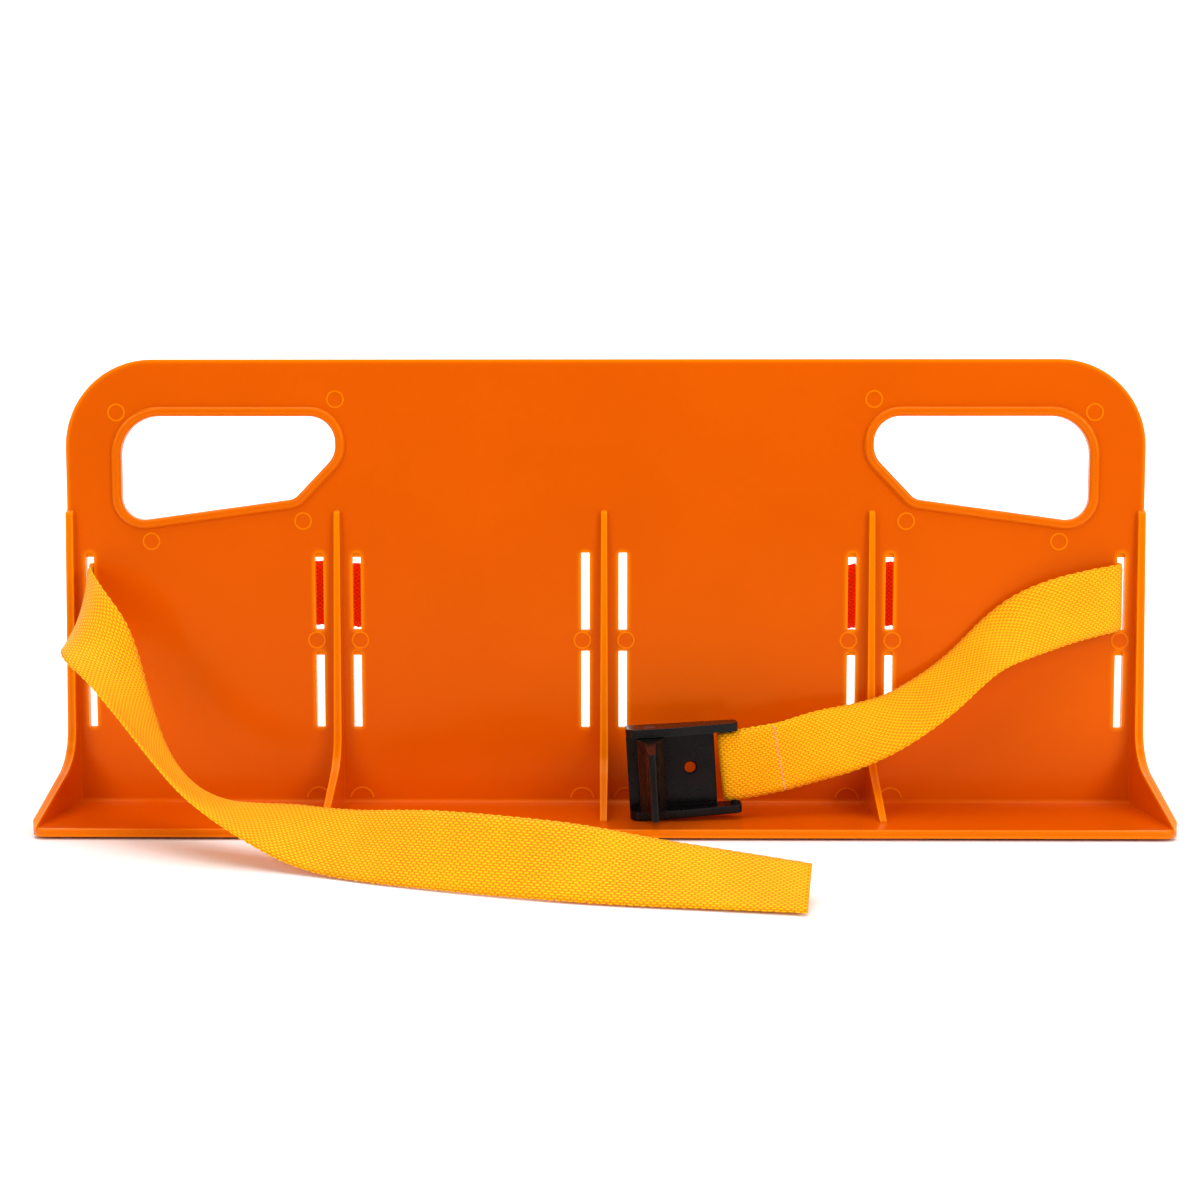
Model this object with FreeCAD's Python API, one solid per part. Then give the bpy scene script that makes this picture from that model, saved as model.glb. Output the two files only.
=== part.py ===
"""Cargo stop for a car boot: an upright moulded panel with a foot, two hand grips and strap slots,
a flat webbing strap laced through its end slots, and a plastic cam buckle sewn to the strap's end.

Millimetres. X runs along the panel, the front looks towards -Y, Z is up. Shapes are drawn from the
wall's front face; they are written with the origin on the floor, under the middle of the panel.
"""
import FreeCAD, Part
import math
import os

os.makedirs("parts", exist_ok=True)
V = FreeCAD.Vector

# ---- panel: one moulding ----------------------------------------------------------------------
PANEL_WIDTH = 614.0
PANEL_HEIGHT = 258.6  # from the foot's underside to the top edge
WALL = 3.5
FOOT_DEPTH = 72.0  # in front of the wall's front face
FOOT_THICKNESS = 4.6
CORNER_RADIUS = 50.0  # top corners of the wall
FOOT_CORNER_RADIUS = 9.0
INSIDE_FILLET = 2.6  # where the wall meets the foot
EDGE_ROUND = 0.8
FOOT_EDGE_ROUND = 1.5

RIB_BAYS = 4
RIB_TOP = 173.4  # above the foot's underside
RIB_HEAD = 2.6  # how far a rib stands out of the wall at its top
RIB_WAIST = 8.2  # and where its flare begins
RIB_WAIST_HEIGHT = 31.6
RIB_BLEND = 26.0
RIB_ROOT_THICKNESS = 4.8
RIB_EDGE_THICKNESS = 3.6
INNER_RIB_REACH = 52.0  # along the foot, from the wall
END_RIB_SETBACK = 2.0  # from the foot's front edge
RIB_NOSE = 0.8
RIB_HEAD_TAPER = 1.6  # how much narrower a rib is at its top
RIB_HEAD_ROUND = 1.4
RIB_HEAD_SLOPE = 1.5  # how far below its top a rib's edge starts
RIB_HEAD_EDGE_ROUND = 1.2

# ---- strap slots ------------------------------------------------------------------------------
SLOT_WIDTH = 4.7
SLOT_LENGTH = 44.0
LOWER_SLOT_HEIGHT = 48.6  # bottom end, above the foot's underside
SLOT_ROW_GAP = 12.3
RIB_SLOT_OFFSET = 10.7  # slot's middle from a rib's middle
END_SLOT_INSET = 12.4  # slot's middle from the panel's end
LEAD_IN_HEIGHT = 2.6  # shallow pocket over the outer slots, for the strap's upper edge
LEAD_IN_DEPTH = 1.6
LEAD_IN_ROUND = 1.6

# ---- hand grips -------------------------------------------------------------------------------
GRIP_INSET = 31.8  # opening's outer side, from the panel's end
GRIP_LENGTH = 122.2
GRIP_DROP = 32.2  # opening's top, below the panel's top edge
GRIP_HEIGHT = 60.4  # at its deep end
GRIP_SHALLOW_HEIGHT = 46.8  # where the sloping bottom ends
GRIP_TIP_HEIGHT = 22.3  # of the straight inner side
GRIP_NECK = 23.5  # length of the slanted inner side along X
GRIP_RADII = (22.0, 15.0, 14.0, 8.0, 13.0)
RIM_WIDTH = 5.5
RIM_PROUD = 2.4
RIM_ROUND = 2.1
GRIP_BACK_ROUND = 1.0

# ---- witness marks of the mould's ejector pins --------------------------------------------------
MARK_DIAMETER = 10.0
BIG_MARK_DIAMETER = 14.0
MARK_LINE = 0.8
MARK_PROUD = 0.35
GRIP_MARKS = [  # from the opening's outer side towards the middle, and below the panel's top edge
    (-2.3, 30.0), (122.4, 22.6), (103.4, 91.6), (16.4, 103.2),
]
RIB_MARK_OFFSET = 12.5  # ring's middle from a rib's middle
LOW_MARK_RISE = 2.0  # middle of a low ring, above the foot
MARK_CLEAR = 0.3  # between a low ring and the inside fillet

# ---- hook-tape pads under the foot ------------------------------------------------------------
PAD_THICKNESS = 1.4
PAD_LENGTH = 116.0
PAD_WIDTH = 66.0
PAD_SETBACK = 5.0  # from the foot's front edge
PAD_CORNER = 3.0

# ---- webbing ----------------------------------------------------------------------------------
WEB_WIDTH = 38.0
WEB_THICKNESS = 1.4
STITCH_THREAD = 0.7
STITCH_LENGTH = 3.0
STITCH_PITCH = 3.8

# ---- cam buckle, in its own frame: x along the webbing, front towards -y, z along the pin -------
BUCKLE_GAP_PLAY = 3.0  # between the flanges, over the webbing's width
BUCKLE_LENGTH = 61.5
FLANGE = 4.5
FLANGE_DEPTH = 18.0
FLANGE_TAIL_DEPTH = 12.5
FLANGE_SLIMS = 12.0  # from the pin to where a cheek starts to slim
FLANGE_RADII = (1.5, 7.0, 12.0, 4.0, 3.0)  # back of the nose, nose, slimming corner, tail front, tail back
FLANGE_EDGE_ROUND = 0.7
BASE_LENGTH = 48.5
BASE_THICKNESS = 3.0
BASE_HOLE_DIAMETER = 6.3
BASE_HOLE_X = 34.5
BASE_HOLE_CHAMFER = 0.8
BAR_DIAMETER = 4.8
BAR_X = 58.2
BAR_FROM_BACK = 5.1
PIN_X = 13.3
PIN_FROM_BACK = 10.5
PIN_DIAMETER = 4.0
PIN_RUNNING_GAP = 0.06  # radial, in the lever's bore
PIN_HEAD_DIAMETER = 6.4
PIN_HEAD_THICKNESS = 1.2
LEVER_SIDE_GAP = 0.6
CAM_RADIUS = 6.4
CAM_RELIEF = 1.9  # how much nearer the pin the smooth side of the cam is
TOOTH_HEIGHT = 0.8
TOOTH_COUNT = 6
TOOTH_PITCH_DEG = 13.0
FIRST_TOOTH_DEG = 8.0
TOOTH_ROOT = 0.8  # how far a tooth sinks into the cam
TOOTH_HALF_WIDTH = 0.7
LOBE_TURN_DEG = -10.0  # from +x, where the cam reaches furthest
LEVER_REACH = 39.0
LEVER_TIP = 3.6
LEVER_BASE = 14.6
LEVER_TOP_CUT = 3.0
LEVER_BOTTOM_CUT = 1.0
LEVER_SHOULDER = 9.0  # from the pin to where the thumb ridge narrows
LEVER_SHOULDER_ROUND = 2.0
LEVER_NECK = 17.0  # and to where it runs straight
LEVER_NECK_FLARE = 0.9
LEVER_NECK_ROUND = 6.0
LEVER_TIP_ROUND = 1.0
LEVER_CUT_STARTS = 10.0

# ---- how the buckle lies on the foot ----------------------------------------------------------
BUCKLE_AT = (14.8, -34.0)
BUCKLE_ROLL_DEG = 3.4  # sewn end up
BUCKLE_PITCH_DEG = 0.8  # top forward
BUCKLE_CLEAR = 0.3

# ---- route of the webbing: middle of its width, and where its upper edge points -----------------
SEWN_LOOP = [  # in the buckle's frame, sewn end to bar and back: x, y, height over the middle, lean
    (86.0, -4.1, 3.6, -0.13), (75.0, -3.2, 2.2, -0.12), (64.0, -1.9, 0.8, -0.08), (51.6, -1.9, 0.0, -0.05),
    (51.6, -8.3, 0.0, -0.05), (64.0, -8.2, 0.8, -0.08), (75.0, -6.8, 2.2, -0.12), (86.0, -5.6, 3.6, -0.13),
]
STITCH_BACK = 2.5  # from the sewn end to the stitching
BUCKLE_RUN = [
    ((118.0, -34.5, 45.0), (-0.14, 0.16, 1.0)),
    ((138.0, -31.0, 49.6), (-0.1, 0.5, 0.85)),
    ((157.5, -29.0, 56.2), (-0.05, 0.72, 0.75)),
    ((173.0, -28.0, 64.8), (-0.05, 0.8, 0.7)),
    ((187.0, -26.5, 74.5), (-0.1, 0.82, 0.6)),
    ((200.8, -23.5, 85.8), (-0.12, 0.86, 0.5)),
    ((212.8, -20.5, 95.5), (-0.1, 0.84, 0.55)),
    ((226.6, -17.5, 104.6), (-0.1, 0.68, 0.75)),
    ((241.0, -15.2, 112.2), (-0.12, 0.42, 0.9)),
    ((258.0, -13.0, 118.4), (-0.12, 0.2, 1.0)),
    ((275.5, -10.6, 122.4), (-0.1, 0.06, 1.0)),
    ((287.5, -8.6, 124.6), (-0.04, 0.0, 1.0)),
    ((294.6, -4.0, 125.6), (0.0, 0.0, 1.0)),
    ((294.6, 1.75, 125.8), (0.0, 0.0, 1.0)),
]
BACK_RUN = [
    ((294.6, 1.75, 125.8), (0.0, 0.0, 1.0)),
    ((294.4, 8.0, 125.8), (0.0, 0.0, 1.0)),
    ((284.0, 13.0, 125.8), (0.0, 0.0, 1.0)),
    ((262.0, 14.2, 126.0), (0.0, 0.0, 1.0)),
    ((228.0, 15.0, 125.8), (0.0, 0.02, 1.0)),
    ((192.0, 14.6, 126.0), (0.0, 0.0, 1.0)),
    ((162.0, 15.4, 126.0), (0.02, -0.04, 1.0)),
    ((140.0, 17.6, 124.4), (0.1, -0.14, 1.0)),
    ((122.0, 22.0, 115.0), (0.35, -0.6, 0.7)),
    ((106.0, 27.0, 97.0), (0.3, -0.9, 0.3)),
    ((90.0, 30.5, 74.0), (0.2, -0.95, 0.25)),
    ((73.0, 32.0, 51.0), (0.2, -0.85, 0.5)),
    ((52.0, 33.0, 32.0), (0.2, -0.5, 0.85)),
    ((29.0, 34.0, 22.5), (0.1, -0.2, 1.0)),
    ((2.0, 35.0, 19.0), (0.0, -0.08, 1.0)),
    ((-27.0, 34.4, 21.5), (-0.1, -0.2, 1.0)),
    ((-51.0, 33.0, 31.5), (-0.2, -0.5, 0.85)),
    ((-72.0, 32.4, 50.6), (-0.2, -0.85, 0.5)),
    ((-89.0, 30.6, 73.6), (-0.2, -0.95, 0.25)),
    ((-105.0, 27.4, 97.0), (-0.3, -0.9, 0.3)),
    ((-121.0, 22.4, 115.0), (-0.35, -0.6, 0.7)),
    ((-139.0, 18.0, 124.6), (-0.1, -0.14, 1.0)),
    ((-161.0, 16.0, 126.4), (-0.02, -0.04, 1.0)),
    ((-192.0, 15.0, 126.2), (0.0, 0.0, 1.0)),
    ((-228.0, 15.4, 126.0), (0.0, 0.02, 1.0)),
    ((-262.0, 14.4, 126.0), (0.0, 0.0, 1.0)),
    ((-284.0, 13.0, 125.8), (0.0, 0.0, 1.0)),
    ((-294.4, 8.0, 125.8), (0.0, 0.0, 1.0)),
    ((-294.6, 1.75, 125.8), (0.0, 0.0, 1.0)),
]
TAIL_RUN = [
    ((-294.6, 1.75, 125.8), (0.0, 0.0, 1.0)),
    ((-294.0, -9.0, 125.5), (0.1, 0.0, 1.0)),
    ((-291.0, -24.0, 123.0), (0.35, -0.15, 0.95)),
    ((-284.0, -41.0, 115.0), (0.6, 0.0, 0.8)),
    ((-275.0, -53.0, 104.0), (0.75, 0.45, 0.45)),
    ((-263.0, -62.0, 89.0), (0.6, 0.8, 0.0)),
    ((-250.0, -72.0, 70.0), (0.4, 0.9, -0.25)),
    ((-236.0, -84.0, 52.0), (0.25, 0.9, -0.4)),
    ((-221.0, -94.0, 38.0), (0.25, 0.9, -0.4)),
    ((-204.0, -104.0, 29.0), (0.35, 0.9, -0.25)),
    ((-185.0, -113.0, 24.0), (0.4, 0.9, 0.05)),
    ((-165.0, -122.0, 20.0), (0.45, 0.8, 0.35)),
    ((-145.0, -132.0, 16.0), (0.4, 0.7, 0.6)),
    ((-125.0, -143.0, 15.0), (0.35, 0.6, 0.75)),
    ((-105.0, -155.0, 16.5), (0.25, 0.5, 0.8)),
    ((-80.0, -168.0, 18.0), (0.15, 0.4, 0.9)),
    ((-50.0, -179.0, 18.0), (0.15, 0.4, 0.9)),
    ((-15.0, -187.5, 17.0), (0.15, 0.55, 0.85)),
    ((20.0, -191.0, 13.5), (0.12, 0.75, 0.65)),
    ((55.0, -194.5, 11.0), (0.15, 0.85, 0.5)),
    ((94.0, -200.5, 8.5), (0.2, 0.9, 0.35)),
]
SECTION_STEP = 4.0  # between the webbing's cross-sections on a bend

# ---- places worked out from the dimensions ------------------------------------------------------
HALF_WIDTH = PANEL_WIDTH / 2
FOOT_BOTTOM = PAD_THICKNESS
FOOT_TOP = FOOT_BOTTOM + FOOT_THICKNESS
PANEL_TOP = FOOT_BOTTOM + PANEL_HEIGHT
RIB_PITCH = (PANEL_WIDTH - RIB_ROOT_THICKNESS) / RIB_BAYS
LOWER_SLOT_Z = FOOT_BOTTOM + LOWER_SLOT_HEIGHT
UPPER_SLOT_Z = LOWER_SLOT_Z + SLOT_LENGTH + SLOT_ROW_GAP
BUCKLE_HEIGHT = WEB_WIDTH + BUCKLE_GAP_PLAY + 2 * FLANGE
BUCKLE_MIDDLE = BUCKLE_HEIGHT / 2
OVERLAP = 1.0  # how far fused features sink into each other
TO_ORIGIN = V(0, (FOOT_DEPTH - WALL) / 2, 0)  # from the wall's front face to the middle of the foot


def save(name, shape):
    """Writes one sub-part, and says what it is made of."""
    if not shape.isValid() or not shape.Solids:
        raise ValueError(f"{name} is not a valid solid")
    shape.translated(TO_ORIGIN).exportStep(os.path.join("parts", name + ".step"))
    print(f"{name}: {len(shape.Solids)} solid, {shape.Volume:.0f} mm3")


def box(low, high):
    """A block between two opposite corners."""
    low, high = V(*low), V(*high)
    size = high - low
    return Part.makeBox(size.x, size.y, size.z, low)


def corner_arc(before, corner, after, radius):
    """The arc that rounds a corner: its start, middle and end."""
    into, out = (corner - before).normalize(), (after - corner).normalize()
    half_turn = into.getAngle(out) / 2
    reach = radius * math.tan(half_turn)
    inward = (out - into).normalize()
    middle = corner + inward * (radius / math.cos(half_turn) - radius)
    return corner - into * reach, middle, corner + out * reach


def rounded_wire(points, radii):
    """A closed outline of straight sides with a radius at each corner, 0 for a sharp one."""
    count = len(points)
    corners = []
    for i, radius in enumerate(radii):
        before, corner, after = points[i - 1], points[i], points[(i + 1) % count]
        corners.append(corner_arc(before, corner, after, radius) if radius else (corner,) * 3)
    edges = []
    for i, (start, middle, end) in enumerate(corners):
        if radii[i]:
            edges.append(Part.Arc(start, middle, end).toShape())
        following = corners[(i + 1) % count][0]
        if end.distanceToPoint(following) > 1e-6:
            edges.append(Part.LineSegment(end, following).toShape())
    return Part.Wire(edges)


def prism(points, radii, along):
    """A rounded outline pushed along a direction."""
    return Part.Face(rounded_wire(points, radii)).extrude(along)


def edges_in_plane(shape, axis, place, keep=lambda edge: True):
    """The edges that lie wholly at one place along an axis."""
    found = []
    for edge in shape.Edges:
        bounds = edge.BoundBox
        low, high = getattr(bounds, axis + "Min"), getattr(bounds, axis + "Max")
        if abs(low - place) < 1e-4 and abs(high - place) < 1e-4 and keep(edge):
            found.append(edge)
    return found


# ---- panel --------------------------------------------------------------------------------------
def wall_plate():
    outline = [
        V(-HALF_WIDTH, 0, FOOT_BOTTOM), V(HALF_WIDTH, 0, FOOT_BOTTOM),
        V(HALF_WIDTH, 0, PANEL_TOP), V(-HALF_WIDTH, 0, PANEL_TOP),
    ]
    plate = prism(outline, (0, 0, CORNER_RADIUS, CORNER_RADIUS), V(0, WALL, 0))
    above = lambda edge: edge.BoundBox.ZMax > FOOT_BOTTOM + 1
    rounded = edges_in_plane(plate, "Y", 0, above) + edges_in_plane(plate, "Y", WALL, above)
    return plate.makeFillet(EDGE_ROUND, rounded)


def foot_plate():
    front = -FOOT_DEPTH
    outline = [
        V(-HALF_WIDTH, front, FOOT_BOTTOM), V(HALF_WIDTH, front, FOOT_BOTTOM),
        V(HALF_WIDTH, OVERLAP, FOOT_BOTTOM), V(-HALF_WIDTH, OVERLAP, FOOT_BOTTOM),
    ]
    plate = prism(outline, (FOOT_CORNER_RADIUS, FOOT_CORNER_RADIUS, 0, 0), V(0, 0, FOOT_THICKNESS))
    ahead = lambda edge: edge.BoundBox.YMin < -1
    plate = plate.makeFillet(FOOT_EDGE_ROUND, edges_in_plane(plate, "Z", FOOT_TOP, ahead))
    return plate.makeFillet(EDGE_ROUND, edges_in_plane(plate, "Z", FOOT_BOTTOM, ahead))


def inside_fillet():
    """The concave fillet between the wall and the foot, along the whole panel."""
    corner = V(-HALF_WIDTH, 0, FOOT_TOP)
    up, out = V(0, 0, INSIDE_FILLET), V(0, -INSIDE_FILLET, 0)
    bow = INSIDE_FILLET * (1 - math.sqrt(0.5))
    sink = V(0, OVERLAP, -OVERLAP)
    edges = [
        Part.Arc(corner + up, corner + V(0, -bow, bow), corner + out).toShape(),
        Part.LineSegment(corner + out, corner + out + V(0, 0, -OVERLAP)).toShape(),
        Part.LineSegment(corner + out + V(0, 0, -OVERLAP), corner + sink).toShape(),
        Part.LineSegment(corner + sink, corner + up + V(0, OVERLAP, 0)).toShape(),
        Part.LineSegment(corner + up + V(0, OVERLAP, 0), corner + up).toShape(),
    ]
    return Part.Face(Part.Wire(edges)).extrude(V(PANEL_WIDTH, 0, 0))


def rib_side(x, reach):
    """The outline of a rib, seen from the side."""
    top, waist = FOOT_BOTTOM + RIB_TOP, FOOT_BOTTOM + RIB_WAIST_HEIGHT
    points = [
        V(x, OVERLAP, FOOT_TOP - OVERLAP), V(x, OVERLAP, top + OVERLAP), V(x, 0, top),
        V(x, -RIB_HEAD, top - RIB_HEAD_SLOPE), V(x, -RIB_WAIST, waist),
        V(x, -reach, FOOT_TOP + RIB_NOSE), V(x, -reach, FOOT_TOP - OVERLAP),
    ]
    return points, (0, 0, 0, RIB_HEAD_EDGE_ROUND, RIB_BLEND, 0, 0)


def rib_plan(middle, root_left, root_right, edge_left, edge_right, reach):
    """A rib's drafted shape from above; from the front, its head is narrower and round."""
    left, right = middle - root_left, middle + root_right
    inset_left = RIB_HEAD_TAPER / 2 if root_left else 0
    inset_right = RIB_HEAD_TAPER / 2 if root_right else 0
    top = FOOT_BOTTOM + RIB_TOP
    front = [
        V(left, -reach - OVERLAP, FOOT_BOTTOM), V(right, -reach - OVERLAP, FOOT_BOTTOM),
        V(right - inset_right, -reach - OVERLAP, top), V(left + inset_left, -reach - OVERLAP, top),
    ]
    radii = (0, 0, RIB_HEAD_ROUND if root_right else 0, RIB_HEAD_ROUND if root_left else 0)
    silhouette = prism(front, radii, V(0, reach + 3 * OVERLAP, 0))
    points = [
        V(left, OVERLAP, FOOT_BOTTOM), V(left, 0, FOOT_BOTTOM),
        V(middle - edge_left, -reach, FOOT_BOTTOM), V(middle + edge_right, -reach, FOOT_BOTTOM),
        V(right, 0, FOOT_BOTTOM), V(right, OVERLAP, FOOT_BOTTOM),
    ]
    return prism(points, (0,) * 6, V(0, 0, RIB_TOP)).common(silhouette)


def inner_rib(middle):
    points, radii = rib_side(middle - RIB_ROOT_THICKNESS, INNER_RIB_REACH)
    blade = prism(points, radii, V(2 * RIB_ROOT_THICKNESS, 0, 0))
    root, edge = RIB_ROOT_THICKNESS / 2, RIB_EDGE_THICKNESS / 2
    return blade.common(rib_plan(middle, root, root, edge, edge, INNER_RIB_REACH))


def end_rib(side):
    """The rib that closes an end; its outer face is flush with the panel's end."""
    reach = FOOT_DEPTH - END_RIB_SETBACK
    points, radii = rib_side(-PANEL_WIDTH, reach)
    blade = prism(points, radii, V(2 * PANEL_WIDTH, 0, 0))
    if side > 0:
        plan = rib_plan(HALF_WIDTH, RIB_ROOT_THICKNESS, 0, RIB_EDGE_THICKNESS, 0, reach)
    else:
        plan = rib_plan(-HALF_WIDTH, 0, RIB_ROOT_THICKNESS, 0, RIB_EDGE_THICKNESS, reach)
    return blade.common(plan)


def foot_outline_prism():
    """Everything that stands on the foot stays inside its rounded outline."""
    outline = [
        V(-HALF_WIDTH, -FOOT_DEPTH, FOOT_BOTTOM), V(HALF_WIDTH, -FOOT_DEPTH, FOOT_BOTTOM),
        V(HALF_WIDTH, WALL, FOOT_BOTTOM), V(-HALF_WIDTH, WALL, FOOT_BOTTOM),
    ]
    return prism(outline, (FOOT_CORNER_RADIUS, FOOT_CORNER_RADIUS, 0, 0), V(0, 0, PANEL_HEIGHT))


def grip_wire(side, y):
    """The hand opening: deep at the panel's end, pointed towards the middle."""
    outer = HALF_WIDTH - GRIP_INSET
    inner = outer - GRIP_LENGTH
    top = PANEL_TOP - GRIP_DROP
    points = [
        V(side * outer, y, top), V(side * inner, y, top), V(side * inner, y, top - GRIP_TIP_HEIGHT),
        V(side * (inner + GRIP_NECK), y, top - GRIP_SHALLOW_HEIGHT),
        V(side * outer, y, top - GRIP_HEIGHT),
    ]
    return rounded_wire(points, GRIP_RADII)


def grip_rim(side):
    """The raised bead round a hand opening, rounded where the hand meets it."""
    opening = grip_wire(side, -RIM_PROUD)
    depth = V(0, RIM_PROUD + OVERLAP, 0)
    bead = Part.Face(opening.makeOffset2D(RIM_WIDTH)).extrude(depth).cut(Part.Face(opening).extrude(depth))
    return bead.makeFillet(RIM_ROUND, edges_in_plane(bead, "Y", -RIM_PROUD))


def grip_cutter(side):
    """What is cut away for the hand, with its edge broken at the back."""
    hole = Part.Face(grip_wire(side, -RIM_PROUD)).extrude(V(0, RIM_PROUD + WALL, 0))
    wide = grip_wire(side, WALL).makeOffset2D(GRIP_BACK_ROUND)
    flare = Part.makeLoft([grip_wire(side, WALL - GRIP_BACK_ROUND), wide], True, True)
    return hole.fuse([flare, Part.Face(wide).extrude(V(0, OVERLAP, 0))])


def slot_places():
    """The middle of every slot column, and whether it is one of the outer ones."""
    columns = []
    for rib in (-1, 0, 1):
        for side in (-1, 1):
            columns.append((rib * RIB_PITCH + side * RIB_SLOT_OFFSET, rib != 0))
    for side in (-1, 1):
        columns.append((side * (HALF_WIDTH - END_SLOT_INSET), True))
    return columns


def slot_cutters():
    cutters = []
    half = SLOT_WIDTH / 2
    for x, outer in slot_places():
        for bottom in (LOWER_SLOT_Z, UPPER_SLOT_Z):
            top = bottom + SLOT_LENGTH
            through = top - LEAD_IN_HEIGHT if outer else top
            cutters.append(box((x - half, -OVERLAP, bottom), (x + half, WALL + OVERLAP, through)))
            if outer:
                pocket = [
                    V(x - half, -OVERLAP, through - OVERLAP), V(x + half, -OVERLAP, through - OVERLAP),
                    V(x + half, -OVERLAP, top), V(x - half, -OVERLAP, top),
                ]
                radii = (0, 0, LEAD_IN_ROUND, LEAD_IN_ROUND)
                cutters.append(prism(pocket, radii, V(0, OVERLAP + LEAD_IN_DEPTH, 0)))
    return cutters


def ring_mark(x, z, diameter):
    """A thin raised circle on the wall's front."""
    start = V(x, -MARK_PROUD, z)
    depth = MARK_PROUD + OVERLAP / 2
    outer = Part.makeCylinder(diameter / 2, depth, start, V(0, 1, 0))
    return outer.cut(Part.makeCylinder(diameter / 2 - MARK_LINE, depth, start, V(0, 1, 0)))


def marks():
    """Ejector marks: round the grips, between the slot rows, and where the wall meets the foot."""
    rings = []
    between_rows = LOWER_SLOT_Z + SLOT_LENGTH + SLOT_ROW_GAP / 2
    for side in (-1, 1):
        grip_outer = HALF_WIDTH - GRIP_INSET
        for from_outer, below_top in GRIP_MARKS:
            rings.append(ring_mark(side * (grip_outer - from_outer), PANEL_TOP - below_top, MARK_DIAMETER))
        rings.append(ring_mark(side * (HALF_WIDTH - END_SLOT_INSET), between_rows, MARK_DIAMETER))
    for rib in (-1, 0, 1):
        for side in (-1, 1):
            x = rib * RIB_PITCH + side * RIB_MARK_OFFSET
            rings.append(ring_mark(x, between_rows, MARK_DIAMETER))
            low_ring = ring_mark(x, FOOT_TOP + LOW_MARK_RISE, BIG_MARK_DIAMETER)
            flat_wall = box((x - BIG_MARK_DIAMETER, -WALL, FOOT_TOP + INSIDE_FILLET + MARK_CLEAR),
                            (x + BIG_MARK_DIAMETER, WALL, FOOT_TOP + BIG_MARK_DIAMETER))
            rings.append(low_ring.common(flat_wall))
    return rings


def panel():
    body = wall_plate().fuse([foot_plate(), inside_fillet()])
    ribs = [inner_rib(rib * RIB_PITCH) for rib in (-1, 0, 1)] + [end_rib(side) for side in (-1, 1)]
    inside = foot_outline_prism()
    body = body.fuse([rib.common(inside) for rib in ribs])
    body = body.fuse([grip_rim(side) for side in (-1, 1)] + marks())
    body = body.cut([grip_cutter(side) for side in (-1, 1)] + slot_cutters())
    return body.removeSplitter()


# ---- hook-tape pads -----------------------------------------------------------------------------
def hook_pad(bay):
    middle = (bay + 0.5 - RIB_BAYS / 2) * RIB_PITCH
    back = -FOOT_DEPTH + PAD_SETBACK + PAD_WIDTH
    outline = [
        V(middle - PAD_LENGTH / 2, back - PAD_WIDTH, 0), V(middle + PAD_LENGTH / 2, back - PAD_WIDTH, 0),
        V(middle + PAD_LENGTH / 2, back, 0), V(middle - PAD_LENGTH / 2, back, 0),
    ]
    return prism(outline, (PAD_CORNER,) * 4, V(0, 0, PAD_THICKNESS))


# ---- cam buckle, in its own frame ---------------------------------------------------------------
def flange(bottom):
    """One side cheek: deep and round at the cam, slimmer at the webbing bar."""
    points = [
        V(0, 0, bottom), V(0, -FLANGE_DEPTH, bottom), V(PIN_X + FLANGE_SLIMS, -FLANGE_DEPTH, bottom),
        V(BUCKLE_LENGTH, -FLANGE_TAIL_DEPTH, bottom), V(BUCKLE_LENGTH, 0, bottom),
    ]
    cheek = prism(points, FLANGE_RADII, V(0, 0, FLANGE))
    outer = 0 if bottom == 0 else BUCKLE_HEIGHT
    return cheek.makeFillet(FLANGE_EDGE_ROUND, edges_in_plane(cheek, "Z", outer))


def buckle_frame():
    inner_top = BUCKLE_HEIGHT - FLANGE
    base = box((0, -BASE_THICKNESS, FLANGE - OVERLAP), (BASE_LENGTH, 0, inner_top + OVERLAP))
    base = base.makeFillet(EDGE_ROUND, edges_in_plane(base, "X", BASE_LENGTH))
    bar_foot = V(BAR_X, -BAR_FROM_BACK, OVERLAP)
    bar = Part.makeCylinder(BAR_DIAMETER / 2, BUCKLE_HEIGHT - 2 * OVERLAP, bar_foot)
    frame = flange(0).fuse([flange(inner_top), base, bar])
    radius = BASE_HOLE_DIAMETER / 2
    hole_front = V(BASE_HOLE_X, -BASE_THICKNESS, BUCKLE_MIDDLE)
    hole = Part.makeCylinder(radius, 2 * BASE_THICKNESS, hole_front, V(0, 1, 0))
    chamfer = Part.makeCone(radius + BASE_HOLE_CHAMFER, radius, BASE_HOLE_CHAMFER, hole_front, V(0, 1, 0))
    pin_hole = Part.makeCylinder(PIN_DIAMETER / 2, BUCKLE_HEIGHT, V(PIN_X, -PIN_FROM_BACK, 0))
    seats = []
    for z in (0, BUCKLE_HEIGHT - PIN_HEAD_THICKNESS):
        seat = Part.makeCylinder(PIN_HEAD_DIAMETER / 2, PIN_HEAD_THICKNESS, V(PIN_X, -PIN_FROM_BACK, z))
        seats.append(seat)
    return frame.cut([hole, chamfer, pin_hole] + seats).removeSplitter()


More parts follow.
